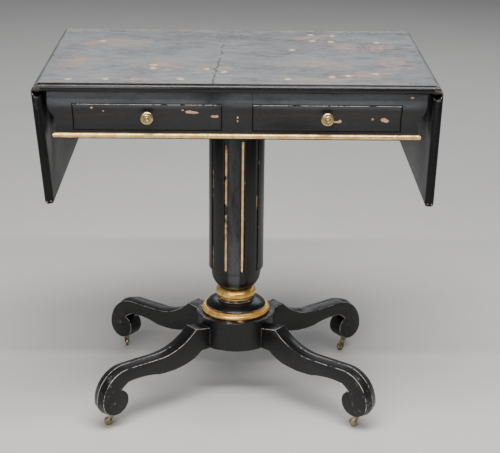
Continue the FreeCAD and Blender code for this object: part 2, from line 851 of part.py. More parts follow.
cleat_blank = box("cleat_blank", about(0, cleat_length), about(0, cleat_width),
                  (cleat_bottom, frieze_bottom))
cleat_bore = rod("cleat_bore", head_tenon + tenon_gap, 2 * cleat_thick,
                 (0, 0, cleat_bottom - cleat_thick / 2))
cleat_screws = fuse("cleat_screws", *[
    screw("cleat_screw_%d_%d" % (x_way, y_way), x_way * (cleat_length / 2 - 2 * screw_inset),
          y_way * (cleat_width / 2 - 2 * screw_inset), cleat_bottom, 2 * screw_length)
    for x_way in (-1, 1) for y_way in (-1, 1)])
keep(cut("top_cleat", cleat_blank, cleat_bore, cleat_screws), "top_cleat")
keep(cut("bottom_board", board_blank, cleat_screws), "bottom_board")

bowl_spread = shaft_foot - neck_radius
shaft = turned("shaft_turning",
               [(0, drum_bottom + tenon_short), (foot_tenon, drum_bottom + tenon_short),
                (foot_tenon, shaft_bottom), (neck_radius, shaft_bottom),
                (shaft_foot, bowl_top, bulge(bowl_spread, bowl_height)),
                (shaft_foot, rib_bottom), (shaft_radius, rib_bottom),
                (shaft_radius, cleat_bottom), (head_tenon, cleat_bottom),
                (head_tenon, frieze_bottom), (0, frieze_bottom)])


def flute_path(width, low, high):
    """A stopped flute with round ends, seen from outside."""
    end = width / 2
    return [(-end, low + end), (0, low, end), (end, low + end, end), (end, high - end),
            (0, high, end), (-end, high - end, end)]


flute_sketch = outline(shaft, "flute_outline", "XZ", flute_path(flute_width, flute_low, flute_high))
bind(flute_sketch, ".AttachmentOffset.Base.z", flute_floor)
flute = shaft.newObject("PartDesign::Pocket", "flute")
flute.Profile = flute_sketch
flute.Reversed = True
bind(flute, "Length", 2 * flute_depth)
doc.recompute()
pattern = shaft.newObject("PartDesign::PolarPattern", "flutes")
pattern.Originals = [flute]
pattern.Axis = (origin_feature(shaft, "Z_Axis"), [""])
pattern.Angle = 360
pattern.Occurrences = flute_count
shaft.Tip = pattern
turn(shaft, (0, 0, 1), flute_turn)
plate_low = drum_bottom - plate_thick
tenon_screw = screw("tenon_screw", 0, 0, plate_low, 2 * screw_length)
keep(cut("column_shaft", shaft, tenon_screw), "column_shaft")

strip = slab("fillet_strip", "XZ", flute_path(fillet_width, flute_low + fillet_gap,
                                              flute_high - fillet_gap), 2 * shaft_radius)
strip_front = common("fillet_front", strip,
                     box("fillet_block", about(0, 2 * fillet_width),
                         (-(flute_floor + fillet_thick), -flute_floor), (0, table_height)))
fillets = []
for index in range(flute_count):
    fillet = group("fillet_%d" % index, [strip_front])
    turn(fillet, (0, 0, 1), flute_turn + 360 / flute_count * index)
    fillets.append(fillet)
keep(fuse("gilt_fillets", *fillets), "gilt_fillets")

waist_level = ring_bottom + upper_ring_waist
keep(turned("upper_gilt_ring", [
    (tenon_bore, ring_bottom), (upper_ring_foot, ring_bottom),
    (upper_ring_foot, ring_bottom + upper_ring_fillet),
    (upper_ring_radius, waist_level, bulge(upper_ring_radius - upper_ring_foot,
                                           upper_ring_waist - upper_ring_fillet)),
    (upper_ring_top, shaft_bottom, bulge(upper_ring_radius - upper_ring_top,
                                         upper_ring_height - upper_ring_waist)),
    (tenon_bore, shaft_bottom)]), "upper_gilt_ring")
keep(turned("plinth_disc", [
    (tenon_bore, disc_bottom), (disc_radius - disc_edge, disc_bottom),
    (disc_radius, disc_bottom + disc_edge),
    (disc_step, ring_bottom - disc_rise, disc_dome), (disc_step, ring_bottom),
    (tenon_bore, ring_bottom)]), "plinth_disc")
bead_curve = bulge(lower_ring_radius - lower_ring_foot, lower_ring_bead / 2)
keep(turned("lower_gilt_ring", [
    (tenon_bore, drum_top), (lower_ring_foot, drum_top),
    (lower_ring_radius, drum_top + lower_ring_bead / 2, bead_curve),
    (lower_ring_foot, drum_top + lower_ring_bead, bead_curve),
    (lower_ring_foot, disc_bottom), (tenon_bore, disc_bottom)]), "lower_gilt_ring")


# --- the base -----------------------------------------------------------------------------

LEGS = (("front_left", (0, 0, -1), 180 - leg_angle), ("front_right", (0, 0, -1), leg_angle),
        ("back_left", (0, 0, 1), 180 - leg_angle), ("back_right", (0, 0, 1), leg_angle))


def leg_section(name, ridge, offset):
    """The leg seen from its side, in the plane of its length. Ridge lifts its back."""
    top = leg_top + ridge
    sweep = sweep_reach - landing_reach
    drop = landing_top + landing_rise - top
    crest = top - scroll_centre
    outer = crest_reach + crest
    left = crest_reach + leg_top - scroll_centre - 2 * scroll_radius
    roll = (outer - left) / 2
    curl = scroll_centre + root(curl_radius * curl_radius
                                - (left + curl_radius - curl_reach)
                                * (left + curl_radius - curl_reach))
    heel = soffit_height - heel_drop
    path = [(drum_radius - leg_root, drum_bottom), (heel_top, drum_bottom - heel_sink),
            (heel_reach, heel, heel_curve), (soffit_middle, soffit_height - soffit_drop,
                                             soffit_belly),
            (soffit_outer, soffit_height, -soffit_arch), (curl_reach, curl),
            (left, scroll_centre, curl_radius), (left + roll, scroll_centre - roll, roll),
            (outer, scroll_centre, roll), (crest_reach, top, crest), (sweep_reach, top),
            (landing_reach, landing_top + landing_rise, -bulge(drop, sweep)),
            (drum_radius - leg_root, landing_top)]
    sketch = doc.addObject("Sketcher::SketchObject", name)
    sketch.Placement = FreeCAD.Placement(Vector(0, 0, 0), FreeCAD.Rotation(Vector(1, 0, 0), 90))
    draw(sketch, path)
    bind(sketch, ".Placement.Base.y", offset)
    return sketch


def stem_bore(name):
    return rod(name, caster_stem + pin_slack, caster_stem_length + caster_plate_thick + OVERRUN,
               (caster_reach, 0, caster_plate_low - OVERRUN))


def caster_seat(name, low):
    return rod(name, caster_plate, caster_plate_low + caster_plate_thick - low,
               (caster_reach, 0, low))


loft = doc.addObject("Part::Loft", "leg_loft")
loft.Sections = [leg_section("leg_face_near", 0, -leg_thick / 2),
                 leg_section("leg_spine", leg_ridge, 0),
                 leg_section("leg_face_far", 0, leg_thick / 2)]
loft.Solid = True
loft.Ruled = True
drum_solid = rod("drum_solid", drum_radius, 2 * drum_height, (0, 0, drum_bottom - drum_height / 2))
tongue = box("leg_tongue", (drum_radius - tongue_depth, drum_radius + tongue_root),
             about(0, tongue_thick), (drum_bottom, drum_bottom + tongue_height))
leg_cut = cut("leg_cut", loft, drum_solid, caster_seat("leg_seat", 0), stem_bore("leg_bore"))
leg_form = fuse("leg_form", leg_cut, tongue)
plate_form = cut("plate_form", caster_seat("plate_disc", caster_plate_low), stem_bore("plate_bore"))
slots, caster_plates = [], []
for leg_name, axis, angle in LEGS:
    turn(placed("leg_" + leg_name, leg_form), axis, angle)
    slot = box("slot_" + leg_name,
               (drum_radius - tongue_depth - tenon_gap, drum_radius + tongue_root),
               about(0, tongue_thick + 2 * tenon_gap),
               (0, drum_bottom + tongue_height + tenon_gap))
    slots.append(group("slot_turned_" + leg_name, [slot]))
    caster_plates.append(group("plate_turned_" + leg_name, [plate_form]))
    turn(slots[-1], axis, angle)
    turn(caster_plates[-1], axis, angle)
keep(fuse("caster_plates", *caster_plates), "caster_plates")

screw_spots = [(0, 1), (1, 0), (0, -1), (-1, 0)]
drum_screws = [screw("plate_screw_%d_%d" % spot, spot[0] * plate_screws, spot[1] * plate_screws,
                     plate_low, 2 * screw_length) for spot in screw_spots]
keep(cut("spider_plate", rod("plate_blank", plate_radius, plate_thick, (0, 0, plate_low)),
         tenon_screw, *drum_screws), "spider_plate")
keep(fuse("frame_screws", cleat_screws, tenon_screw, *drum_screws), "frame_screws")
drum = turned("drum_turning", [
    (tenon_bore, drum_bottom), (drum_radius, drum_bottom), (drum_radius, drum_top - drum_round),
    (drum_radius - drum_round, drum_top, drum_round), (tenon_bore, drum_top)])
keep(cut("base_drum", drum, *(slots + drum_screws)), "base_drum")


# --- the casters --------------------------------------------------------------------------

def caster(name, x_way, y_way, direction):
    """A plate caster drawn trailing along +X, then turned to where its wheel stands."""
    x = x_way * caster_reach * cosine(leg_angle)
    y = y_way * caster_reach * sine(leg_angle)
    crown_high = caster_plate_low - crown_gap
    crown_low = crown_high - crown_thick
    half = wheel_width / 2 + wheel_gap
    width = 2 * (half + fork_cheek)
    cheek = slab("cheek_" + name, "XZ",
                 [(-cheek_half, crown_low), (wheel_trail - cheek_half, wheel_radius),
                  (wheel_trail, wheel_radius - cheek_half, cheek_half),
                  (wheel_trail + cheek_half, wheel_radius, cheek_half),
                  (cheek_half, crown_high - cheek_sink),
                  (-cheek_half, crown_high - cheek_sink)], width)
    gap = box("fork_gap_" + name, (-2 * crown_radius, wheel_trail + wheel_radius),
              (-half, half), (0, crown_low))
    crown = rod("crown_" + name, crown_radius, crown_thick, (0, 0, crown_low))
    stem = rod("stem_" + name, caster_stem, caster_stem_length + crown_gap, (0, 0, crown_high))
    bore = rod("axle_bore_" + name, axle_radius, 2 * width, (wheel_trail, -width, wheel_radius),
               "Y")
    fork = placed("caster_fork_" + name, cut("fork_form_" + name, fuse(
        "fork_blank_" + name, cut("cheeks_" + name, cheek, gap), crown, stem), bore))
    axle = placed("caster_axle_" + name, rod("axle_form_" + name, axle_radius, width,
                                             (wheel_trail, -width / 2, wheel_radius), "Y"))
    tread = wheel_radius - tread_round
    hub = axle_radius + pin_slack
    edge = wheel_width / 2
    tread_curve = bulge(tread_round, edge / 2)
    rim = turned("wheel_turning_" + name, [
        (hub, -edge), (tread, -edge), (wheel_radius, -edge / 2, tread_curve),
        (wheel_radius, edge / 2), (tread, edge, tread_curve), (hub, edge)])
    turn(rim, (1, 0, 0), 90)
    move(rim, wheel_trail, 0, wheel_radius)
    wheel = placed("caster_wheel_" + name, rim)
    for piece in (fork, axle, wheel):
        turn(piece, (0, 0, 1), direction)
        move(piece, x, y, 0)


swivels = {"front_left": size("swivel_front_left", 146),
           "front_right": size("swivel_front_right", 135),
           "back_right": size("swivel_back_right", 220),
           "back_left": size("swivel_back_left", 90)}
caster("front_left", -1, -1, swivels["front_left"])
caster("front_right", 1, -1, swivels["front_right"])
caster("back_left", -1, 1, swivels["back_left"])
caster("back_right", 1, 1, swivels["back_right"])


# --- checks and files ---------------------------------------------------------------------

doc.recompute()
faults = ["%s: %s" % (item.Name, ", ".join(item.State)) for item in doc.Objects
          if "Invalid" in item.State or "Error" in item.State]
for item in subparts:
    if item.Shape.isNull() or not item.Shape.isValid():
        faults.append(item.Label + ": its shape is empty or not valid")
    elif not item.Shape.Solids:
        faults.append(item.Label + ": it has no solid")
if faults:
    raise RuntimeError("; ".join(faults))
os.makedirs("parts", exist_ok=True)
for item in subparts:
    item.Shape.exportStep("parts/%s.step" % item.Label)
    print("%-26s %2d solids %12.1f mm3" % (item.Label, len(item.Shape.Solids), item.Shape.Volume))
print("%d nodes" % len(subparts))
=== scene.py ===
import json
import math

import bpy
from mathutils import Matrix, Vector

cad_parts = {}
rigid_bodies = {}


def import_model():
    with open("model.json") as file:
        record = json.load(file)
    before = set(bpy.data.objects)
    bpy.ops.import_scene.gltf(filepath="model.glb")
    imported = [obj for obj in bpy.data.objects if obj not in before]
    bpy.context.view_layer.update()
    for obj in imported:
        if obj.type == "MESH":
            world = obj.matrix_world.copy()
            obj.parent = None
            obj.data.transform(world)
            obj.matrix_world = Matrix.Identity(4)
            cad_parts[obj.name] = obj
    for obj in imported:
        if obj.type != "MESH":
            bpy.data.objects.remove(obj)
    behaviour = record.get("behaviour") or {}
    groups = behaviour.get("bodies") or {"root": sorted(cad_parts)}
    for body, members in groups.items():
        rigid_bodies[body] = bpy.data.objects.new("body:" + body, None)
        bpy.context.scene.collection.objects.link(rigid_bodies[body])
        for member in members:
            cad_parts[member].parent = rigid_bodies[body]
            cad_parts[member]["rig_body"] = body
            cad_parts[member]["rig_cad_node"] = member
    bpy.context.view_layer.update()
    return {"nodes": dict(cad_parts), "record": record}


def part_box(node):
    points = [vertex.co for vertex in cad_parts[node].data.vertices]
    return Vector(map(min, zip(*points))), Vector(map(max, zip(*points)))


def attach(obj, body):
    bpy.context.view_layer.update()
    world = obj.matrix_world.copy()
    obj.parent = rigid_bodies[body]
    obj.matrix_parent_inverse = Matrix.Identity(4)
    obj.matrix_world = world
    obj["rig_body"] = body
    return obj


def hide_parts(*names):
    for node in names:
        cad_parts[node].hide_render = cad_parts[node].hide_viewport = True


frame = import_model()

# A drop-leaf work table in worn black lacquer with gilt trim, on a fluted column and four
# scrolled legs. Metres, front towards -Y, as in the frame.

MM = 0.001


# --- shader maths -------------------------------------------------------------------------

class Value:
    """A socket that takes part in ordinary arithmetic, with others and with plain numbers."""

    def __init__(self, shader, socket):
        self.shader = shader
        self.socket = socket

    def _maths(self, operation, first, second=0.0):
        return self.shader.node("ShaderNodeMath", {"operation": operation}, first, second)

    def __add__(self, other):
        return self._maths("ADD", self, other)

    def __radd__(self, other):
        return self._maths("ADD", other, self)

    def __sub__(self, other):
        return self._maths("SUBTRACT", self, other)

    def __rsub__(self, other):
        return self._maths("SUBTRACT", other, self)

    def __mul__(self, other):
        return self._maths("MULTIPLY", self, other)

    def __rmul__(self, other):
        return self._maths("MULTIPLY", other, self)

    def __truediv__(self, other):
        return self._maths("DIVIDE", self, other)

    def __pow__(self, other):
        return self._maths("POWER", self, other)

    def __neg__(self):
        return self._maths("MULTIPLY", self, -1.0)

    def larger(self, other):
        return self._maths("MAXIMUM", self, other)

    def size(self):
        return self._maths("ABSOLUTE", self)

    def turn_from(self, other):
        """The turn from the other value's axis towards this one's, in degrees."""
        return self._maths("ARCTAN2", self, other) * math.degrees(1)

    def step(self, low, high):
        """0 below low, 1 above high and smooth between. With low above high it falls instead."""
        rising = low < high
        settings = {"interpolation_type": "SMOOTHSTEP"}
        ends = (low, high, 0.0, 1.0) if rising else (high, low, 1.0, 0.0)
        return self.shader.node("ShaderNodeMapRange", settings, self, *ends)


class Shader:
    """A material under construction."""

    def __init__(self, name):
        self.material = bpy.data.materials.new(name)
        self.material.use_nodes = True
        self.tree = self.material.node_tree
        self.surface = self.tree.nodes["Principled BSDF"]
        texture = self.tree.nodes.new("ShaderNodeTexCoord")
        self.place = Value(self, texture.outputs["Object"])
        parts = self.tree.nodes.new("ShaderNodeSeparateXYZ")
        self.tree.links.new(self.place.socket, parts.inputs[0])
        self.x, self.y, self.z = [Value(self, parts.outputs[axis]) for axis in range(3)]

    def feed(self, socket, value):
        """A link where the value is one, and else a plain setting."""
        if isinstance(value, Value):
            self.tree.links.new(value.socket, socket)
        else:
            socket.default_value = value

    def node(self, kind, settings, *values, **named):
        """Any node: its settings first, then the values or links of its sockets, in order or
        by name."""
        made = self.tree.nodes.new(kind)
        for name, setting in settings.items():
            setattr(made, name, setting)
        for socket, value in zip(made.inputs, values):
            self.feed(socket, value)
        for name, value in named.items():
            self.feed(made.inputs[name], value)
        return Value(self, made.outputs[0])

    def mix(self, mask, under, over):
        """The second colour over the first, as far as the mask lets it."""
        made = self.tree.nodes.new("ShaderNodeMix")
        made.data_type = "RGBA"
        ends = {socket.identifier: socket for socket in [*made.inputs, *made.outputs]}
        self.feed(ends["Factor_Float"], mask)
        self.feed(ends["A_Color"], colour(under))
        self.feed(ends["B_Color"], colour(over))
        return Value(self, ends["Result_Color"])

    def moved(self, shift, stretch):
        """The piece's own coordinates, slid and stretched. A low stretch draws a pattern out
        along that axis."""
        return self.node("ShaderNodeMapping", {"vector_type": "POINT"}, self.place, shift,
                         (0, 0, 0), stretch)

    def noise(self, scale, detail, rough=0.55, stretch=(1, 1, 1), shift=(0, 0, 0), warp=0.0):
        """Clouds from 0 to 1, about so many to a metre."""
        moved = self.moved(shift, stretch)
        return self.node("ShaderNodeTexNoise", {"noise_dimensions": "3D"}, Vector=moved,
                         Scale=scale, Detail=detail, Roughness=rough, Distortion=warp)

    def cells(self, scale, stretch=(1, 1, 1)):
        """How far a point is from the nearest of many scattered ones."""
        moved = self.moved((0, 0, 0), stretch)
        return self.node("ShaderNodeTexVoronoi", {"feature": "F1"}, Vector=moved, Scale=scale)

    def bump(self, height, strength, distance):
        """A surface raised by the height, by up to so many metres."""
        return self.node("ShaderNodeBump", {}, Height=height, Strength=strength,
                         Distance=distance)

    def finish(self, base, rough, metal=0.0, normal=None, specular=0.5):
        """The finished material."""
        surface = self.surface.inputs
        self.feed(surface["Base Color"], colour(base))
        self.feed(surface["Roughness"], rough)
        self.feed(surface["Metallic"], metal)
        surface["Specular IOR Level"].default_value = specular
        if normal:
            self.feed(surface["Normal"], normal)
        return self.material


def colour(value):
    """A link to a colour as it is, or a plain colour with its alpha."""
    return value if isinstance(value, Value) else (*value, 1.0)


# --- finishes -----------------------------------------------------------------------------

LACQUER = (0.004, 0.0042, 0.0048)
LACQUER_DUSTY = (0.011, 0.0115, 0.0135)
# A grey of painted light: painted sheen on the frieze and column, painted light on the leaves.
PAINTED_LIGHT_GREY = (0.088, 0.092, 0.103)
RUBBED = (0.11, 0.095, 0.085)
ORANGE_WOOD = (0.66, 0.30, 0.10)
PALE_WOOD = (0.80, 0.60, 0.42)
BARE_EDGE = (0.52, 0.46, 0.42)
# Black of painted shade, for the gaps round the drawers, the grooves by the nosings and a joint
# line in the stile.
PAINTED_GAP_SHADE = (0.003, 0.003, 0.003)
TOP_BLACK = (0.045, 0.047, 0.051)
TOP_GREY = (0.155, 0.155, 0.155)
TOP_ROSE = (0.27, 0.175, 0.145)
TOP_OLIVE = (0.22, 0.175, 0.12)
TOP_BARE = (0.45, 0.30, 0.19)
TOP_SPOT = (0.60, 0.43, 0.28)
TOP_SPECK = (0.022, 0.019, 0.018)
# Black for the split, and painted shade in the grooves by the nosings.
TOP_SPLIT_AND_GROOVE_SHADE = (0.004, 0.004, 0.004)
ORANGE_CLAY = (0.40, 0.13, 0.02)
SOOT = (0.05, 0.028, 0.014)
HINGE_BRASS = (0.55, 0.42, 0.20)
CASTER_BRASS = (0.42, 0.34, 0.20)
KNOB_BRASS = (0.60, 0.45, 0.21)
TARNISH = (0.07, 0.05, 0.03)
KNOB_DIRT = (0.05, 0.034, 0.018)
IRON = (0.035, 0.033, 0.032)
RUST = (0.13, 0.06, 0.03)
LINING_WOOD = (0.30, 0.16, 0.08)
BOTTOM_WOOD = (0.42, 0.27, 0.15)
CARCASE_WOOD = (0.24, 0.14, 0.08)


def darker(tone, share):
    return tuple(part * share for part in tone)


def away(shader, centre, radii):
    """0 at a point, 1 at its radii and more beyond. Radii of None reach through the piece."""
    total = None
    for axis, at, radius in zip((shader.x, shader.y, shader.z), centre, radii):
        if radius is not None:
            part = ((axis - at) / radius) ** 2.0
            total = part if total is None else total + part
    return total


def spot(shader, centre, radii, ragged=1.5, scale=330):
    """A ragged patch about a point."""
    torn = (shader.noise(scale, 6.0, 0.75) - 0.5) * (2.4 * ragged)
    return (away(shader, centre, radii) + torn).step(1.05, 0.75)


def gather(masks):
    """Several masks as one."""
    total = masks[0]
    for mask in masks[1:]:
        total = total.larger(mask)
    return total


def chip(shader, across, up, wide, high):
    """A chip through the lacquer of the front, from millimetres."""
    return spot(shader, (across * MM, 0, up * MM), (wide * MM, None, high * MM))


def lacquer(name, wear, chips=(), grain=(1, 1, 1), painted_light=None, dirt_and_painted_shade=None, rough=0.27,
            sheen=0.33):
    """Old black lacquer: a dusty sheen, fine scratches, rubbed places and chips to the wood.
    Wear gives where it is rubbed thin. The next mask paints light in grey, as a sheen and as
    light beside a shadow; the last paints shade, black and dull, into gaps and grooves."""
    shader = Shader(name)
    broad = shader.noise(9, 3.0, 0.5, grain)
    fine = shader.noise(150, 5.0, 0.7, grain)
    base = shader.mix(broad.step(0.35, 0.75) * 0.6, LACQUER, LACQUER_DUSTY)
    # Painted light: a grey laid over the black where the light falls.
    if painted_light:
        base = shader.mix(painted_light(shader) * (0.6 + fine * 0.8), base, PAINTED_LIGHT_GREY)
    rubbed = wear(shader)
    brown = (rubbed + (fine - 0.5) * 1.1).step(0.40, 0.75)
    bare = (rubbed + (fine - 0.5) * 0.9).step(0.74, 0.98)
    base = shader.mix(brown * 0.7, base, RUBBED)
    base = shader.mix(bare, base, shader.mix(fine.step(0.4, 0.6), BARE_EDGE, PALE_WOOD))
    flecks = shader.cells(300).step(0.10, 0.05) * shader.noise(24, 2.0).step(0.60, 0.68)
    base = shader.mix(flecks * 0.7, base, BARE_EDGE)
    depth = fine * 0.3 - bare * 0.8 - brown * 0.2
    roughness = rough + broad.step(0.3, 0.8) * 0.12 + brown * 0.25 + bare * 0.2
    if chips:
        chipped = gather([chip(shader, *place) for place in chips])
        inner = shader.mix(shader.noise(420, 4.0).step(0.42, 0.58), ORANGE_WOOD, PALE_WOOD)
        base = shader.mix(chipped, base, inner)
        depth = depth - chipped * 1.6
        roughness = roughness + chipped * 0.35
    swirls = shader.noise(46, 6.0, 0.8, tuple(part * 3 for part in grain), warp=0.6)
    scratches = (swirls - 0.5).size().step(0.008, 0.002)
    base = shader.mix(scratches * 0.25, base, RUBBED)
    # Painted shade: black and dull, laid into gaps and grooves.
    if dirt_and_painted_shade:
        gap_shade = dirt_and_painted_shade(shader)
        base = shader.mix(gap_shade, base, PAINTED_GAP_SHADE)
        roughness = roughness + gap_shade * 0.4
    normal = shader.bump(depth + broad * 0.4 - scratches * 0.1, 0.4, 0.7 * MM)
    return shader.finish(base, roughness, 0.0, normal, specular=sheen)


def worn_edge(name, amount=0.5, bare=BARE_EDGE, where=None):
    """The rounded edges of a piece, where the lacquer is rubbed through in a broken line.
    Amount is how much of the line is bare, and where gives the stretches that can be."""
    shader = Shader(name)
    broken = shader.noise(42, 5.0, 0.7)
    fine = shader.noise(300, 4.0, 0.65)
    worn = (broken + (fine - 0.5) * 0.35).step(0.70 - 0.4 * amount, 0.80 - 0.4 * amount)
    if where:
        worn = worn * where(shader)
    tone = shader.mix(fine.step(0.4, 0.6), darker(bare, 0.6), bare)
    base = shader.mix(worn * 0.9, LACQUER_DUSTY, tone)
    return shader.finish(base, 0.32 + worn * 0.25, 0.0,
                         shader.bump(fine * 0.4 - worn * 0.8, 0.35, 0.5 * MM))


def gilding(name, worn=0.45, pale=0.0, present=None):
    """Gold leaf over orange clay, rubbed through and sooty. Pale takes it from deep gold to
    cream, and present gives where any is left on the black."""
    shader = Shader(name)
    broad = shader.noise(60, 4.0, 0.6)
    fine = shader.noise(420, 4.0, 0.65)
    deep = (0.74 + 0.1 * pale, 0.36 + 0.22 * pale, 0.065 + 0.25 * pale)
    light = (0.96, 0.66 + 0.14 * pale, 0.20 + 0.34 * pale)
    gold = shader.mix(broad.step(0.38, 0.62), deep, light)
    clay = (broad * 0.6 + fine * 0.5).step(0.60, 0.70) * worn
    base = shader.mix(clay, gold, ORANGE_CLAY)
    soot = shader.noise(150, 3.0, 0.6, shift=(3, 1, 2)).step(0.60, 0.70)
    base = shader.mix(soot * 0.5, base, SOOT)
    metal = 0.7 - clay * 0.5 - soot * 0.4
    rough = 0.30 + clay * 0.25 + soot * 0.2
    if present:
        left = present(shader)
        base = shader.mix(left, LACQUER, base)
        metal = metal * left
    return shader.finish(base, rough, metal,
                         shader.bump(fine * 0.5 - clay * 0.6, 0.3, 0.4 * MM))


def aged_brass(name, base, dark):
    """Brass in a broken tarnish, which dark makes heavier."""
    shader = Shader(name)
    broad = shader.noise(90, 4.0, 0.6)
    fine = shader.noise(700, 3.0, 0.6)
    tarnish = (broad * 0.7 + fine * 0.4).step(0.48, 0.66) * dark
    tone = shader.mix(tarnish, base, TARNISH)
    return shader.finish(tone, 0.24 + tarnish * 0.35, 0.95 - tarnish * 0.35,
                         shader.bump(fine, 0.2, 0.2 * MM))


def ringed_brass():
    """Knob brass, with dirt in the grooves between its rings and behind its face. The knobs
    are a mirror pair, so one pattern does for both."""
    shader = Shader("knob_brass")
    low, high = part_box("drawer_right_knob")
    middle = (low + high) / 2
    radius = (high.x - low.x) / 2
    out = ((shader.x.size() - middle.x) ** 2.0 + (shader.z - middle.z) ** 2.0) ** 0.5 / radius
    grooves = gather([(out - groove).size().step(0.06, 0.02) for groove in (0.25, 0.41, 0.68)])
    behind = (shader.y - low.y).step(0.3 * radius, 0.6 * radius)
    fine = shader.noise(600, 4.0, 0.65)
    dirt_and_painted_shade = (grooves * 0.85).larger(behind * 0.7).larger(fine.step(0.56, 0.70) * 0.5)
    tone = shader.mix(dirt_and_painted_shade, KNOB_BRASS, KNOB_DIRT)
    return shader.finish(tone, 0.22 + dirt_and_painted_shade * 0.35, 0.95 - dirt_and_painted_shade * 0.5,
                         shader.bump(fine, 0.2, 0.2 * MM))


def blackened_iron():
    shader = Shader("blackened_iron")
    broad = shader.noise(120, 5.0, 0.65)
    rust = broad.step(0.55, 0.7)
    tone = shader.mix(rust, IRON, RUST)
    return shader.finish(tone, 0.5 + rust * 0.25, 0.75 - rust * 0.5,
                         shader.bump(broad, 0.4, 0.4 * MM))


def plain_timber(name, tone, along=(1, 8, 8)):
    """Unpolished boards, with grain along the axis that the stretch leaves alone."""
    shader = Shader(name)
    rings = shader.noise(14, 4.0, 0.5, along, warp=0.8)
    pores = shader.noise(180, 4.0, 0.7, tuple(part * 0.6 for part in along))
    base = shader.mix(rings.step(0.35, 0.7), tone, darker(tone, 0.55))
    base = shader.mix(pores.step(0.58, 0.7) * 0.5, base, darker(tone, 0.35))
    return shader.finish(base, 0.62 + rings * 0.1, 0.0,
                         shader.bump(rings * 0.5 + pores * 0.5, 0.3, 0.5 * MM))


# --- where each piece is worn, and where light and shade are painted ----------------------

top_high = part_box("top_panel")[1]
leaf_low, leaf_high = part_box("leaf_right")
opening_low, opening_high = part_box("front_stiles")
front_low, front_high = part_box("drawer_right_front")

# Broad rubbed places on the top, in millimetres: centre across and back, then the reach of each.
RUBBED_PLACES = [(-265, 105, 105, 55), (-315, -75, 60, 105), (-150, -95, 90, 55),
                 (-45, -120, 45, 60), (-190, -215, 170, 18), (150, -205, 110, 20),
                 (255, 75, 120, 50), (165, 165, 60, 50), (235, -165, 75, 35),
                 (160, -75, 100, 60), (310, -60, 50, 80)]
# Small bare spots on the top, in millimetres across and back.
BARE_SPOTS = [(-281, 121), (-162, -98), (-163, -124), (-59, -128), (-26, -152), (-107, -212),
              (-246, -217), (-315, -219), (157, 200), (157, 138), (202, 191), (196, 130),
              (111, 48), (292, 124), (209, -177), (178, -186), (264, -159), (95, -205)]
# Chips on the front, in millimetres: centre across and up, then the reach of each.
CHIPS = {
    "drawer_left_front": [(-88.5, 676.0, 8.5, 3.2), (-80.0, 674.8, 7.5, 2.6),
                          (-41.8, 666.6, 7.0, 3.2), (-270.8, 683.5, 2.2, 1.8),
                          (-249.3, 677.0, 1.8, 1.4), (-101.7, 680.1, 2.4, 1.4)],
    "drawer_right_front": [(274.5, 661.7, 6.2, 4.0), (280.0, 659.0, 4.5, 3.0),
                           (253.7, 662.8, 2.4, 2.2), (187.0, 656.5, 8.5, 2.0),
                           (192.5, 658.0, 3.5, 3.5)],
    "front_stiles": [(0.8, 664.4, 1.6, 3.0), (0.8, 656.5, 1.4, 2.2)],
    "front_top_rail": [(325.3, 707.3, 3.5, 2.0)],
}


def light_wear(shader):
    """Faint patches all over."""
    return shader.noise(20, 4.0, 0.6).step(0.55, 0.85) * 0.45


def crack(shader):
    """A split that wanders across the top near its middle, open here and closed there."""
    drift = (shader.noise(26, 4.0, 0.6, (0.0, 1.0, 0.0)) - 0.5) * (34 * MM)
    line = (shader.x + 34 * MM - shader.y * 0.05 + drift).size()
    reach = shader.y.step(110 * MM, 90 * MM)
    opened = shader.noise(34, 2.0, 0.5, (0.2, 1.0, 0.0), shift=(2, 0, 0)).step(0.40, 0.52)
    return line.step(1.9 * MM, 0.8 * MM) * reach * opened


def rubbed_zones(shader):
    """The broad rubbed places of the top, and a band along its front and back edges."""
    reach = None
    for across, back, wide, deep in RUBBED_PLACES:
        spread = away(shader, (across * MM, back * MM, 0), (wide * MM, deep * MM, None))
        near = 1.0 - spread * 0.8
        reach = near if reach is None else reach.larger(near)
    edge = shader.y.size().step(top_high.y - 31.5 * MM, top_high.y - 8.5 * MM)
    return reach.larger(0.0).larger(edge * 0.75)


